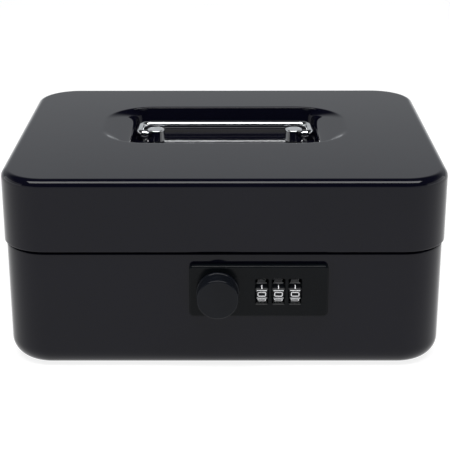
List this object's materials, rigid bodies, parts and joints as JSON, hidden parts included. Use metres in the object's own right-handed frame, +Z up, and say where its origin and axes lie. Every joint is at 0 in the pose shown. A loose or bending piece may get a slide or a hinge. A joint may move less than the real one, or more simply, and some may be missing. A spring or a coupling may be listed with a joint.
{
  "type": "cash box",
  "caption": "Drawn steel cash box with a hinged lid, recessed folding handle, front combination lock with a turning knob, and a lift-out coin tray.",
  "frame": {"origin": "centre of the flat base, on the surface the box stands on", "axes": "+X to the right seen from the front, +Y towards the hinges at the back, +Z up; the front faces -Y"},
  "size_m": [0.2, 0.1761, 0.09],
  "materials": {
    "gloss_black": "gloss black powder coat",
    "black_plastic": "satin black moulded plastic",
    "dial_plastic": "fine matt black with white digits",
    "tray_plastic": "fine-grained black moulding",
    "housing_plastic": "fine-grained dark grey moulding",
    "chrome": "bright chrome plate",
    "zinc_steel": "bright zinc plate",
    "spring_steel": "rolled spring steel",
    "brass": "turned brass"
  },
  "bodies": {
    "box_base": {"body_shell": "gloss_black", "hinge_body_leaf_left": "gloss_black", "hinge_body_leaf_right": "gloss_black", "hinge_pin_left": "zinc_steel", "hinge_pin_right": "zinc_steel", "hinge_body_rivet_left_1": "gloss_black", "hinge_body_rivet_left_2": "gloss_black", "hinge_body_rivet_right_1": "gloss_black", "hinge_body_rivet_right_2": "gloss_black", "lock_faceplate": "black_plastic", "lock_case": "housing_plastic", "lock_screw_1": "zinc_steel", "lock_screw_2": "zinc_steel", "lock_screw_3": "zinc_steel", "lock_screw_4": "zinc_steel", "dial_spindle": "zinc_steel", "detent_spring": "spring_steel"},
    "lid": {"lid_shell": "gloss_black", "lid_keeper": "zinc_steel", "hinge_lid_leaf_left": "gloss_black", "hinge_lid_leaf_right": "gloss_black", "hinge_lid_rivet_left_1": "gloss_black", "hinge_lid_rivet_left_2": "gloss_black", "hinge_lid_rivet_right_1": "gloss_black", "hinge_lid_rivet_right_2": "gloss_black", "handle_post_left": "chrome", "handle_post_right": "chrome", "handle_washer_left": "zinc_steel", "handle_washer_right": "zinc_steel", "handle_nut_left": "zinc_steel", "handle_nut_right": "zinc_steel"},
    "bail": {"handle_bail": "chrome"},
    "knob_shaft": {"knob": "black_plastic", "knob_spindle": "zinc_steel", "latch_hook": "zinc_steel", "hook_washer": "zinc_steel", "hook_screw": "zinc_steel"},
    "dial_set_left": {"dial_left": "dial_plastic", "tumbler_left": "brass"},
    "dial_set_middle": {"dial_middle": "dial_plastic", "tumbler_middle": "brass"},
    "dial_set_right": {"dial_right": "dial_plastic", "tumbler_right": "brass"},
    "fence": {"fence_plate": "housing_plastic"},
    "reset": {"reset_lever": "housing_plastic"},
    "tray": {"coin_tray": "tray_plastic"}
  },
  "joints": [
    {"name": "lid_hinge", "type": "hinge", "parent": "box_base", "child": "lid", "pos_m": [0, 0.0823, 0.0562], "axis": [-1, 0, 0], "range_deg": [0, 100]},
    {"name": "handle_swing", "type": "hinge", "parent": "lid", "child": "bail", "pos_m": [0, 0.01, 0.0849], "axis": [1, 0, 0], "range_deg": [0, 180]},
    {"name": "knob_turn", "type": "hinge", "parent": "box_base", "child": "knob_shaft", "pos_m": [-0.0029, -0.0619, 0.039], "axis": [0, -1, 0], "range_deg": [0, 90]},
    {"name": "dial_left_turn", "type": "hinge", "parent": "box_base", "child": "dial_set_left", "pos_m": [0.01665, -0.0775, 0.038], "axis": [1, 0, 0], "continuous": true},
    {"name": "dial_middle_turn", "type": "hinge", "parent": "box_base", "child": "dial_set_middle", "pos_m": [0.02405, -0.0775, 0.038], "axis": [1, 0, 0], "continuous": true},
    {"name": "dial_right_turn", "type": "hinge", "parent": "box_base", "child": "dial_set_right", "pos_m": [0.03145, -0.0775, 0.038], "axis": [1, 0, 0], "continuous": true},
    {"name": "fence_slide", "type": "slide", "parent": "box_base", "child": "fence", "axis": [0, 1, 0], "range_m": [0, 0.0015]},
    {"name": "reset_slide", "type": "slide", "parent": "box_base", "child": "reset", "axis": [1, 0, 0], "range_m": [0, 0.004]},
    {"name": "tray_lift", "type": "slide", "parent": "box_base", "child": "tray", "axis": [0, 0, 1], "range_m": [0, 0.01]}
  ],
  "couplings": [
    {"joint": "fence_slide", "follows": "knob_turn", "m_per_rad": 0.00095}
  ]
}
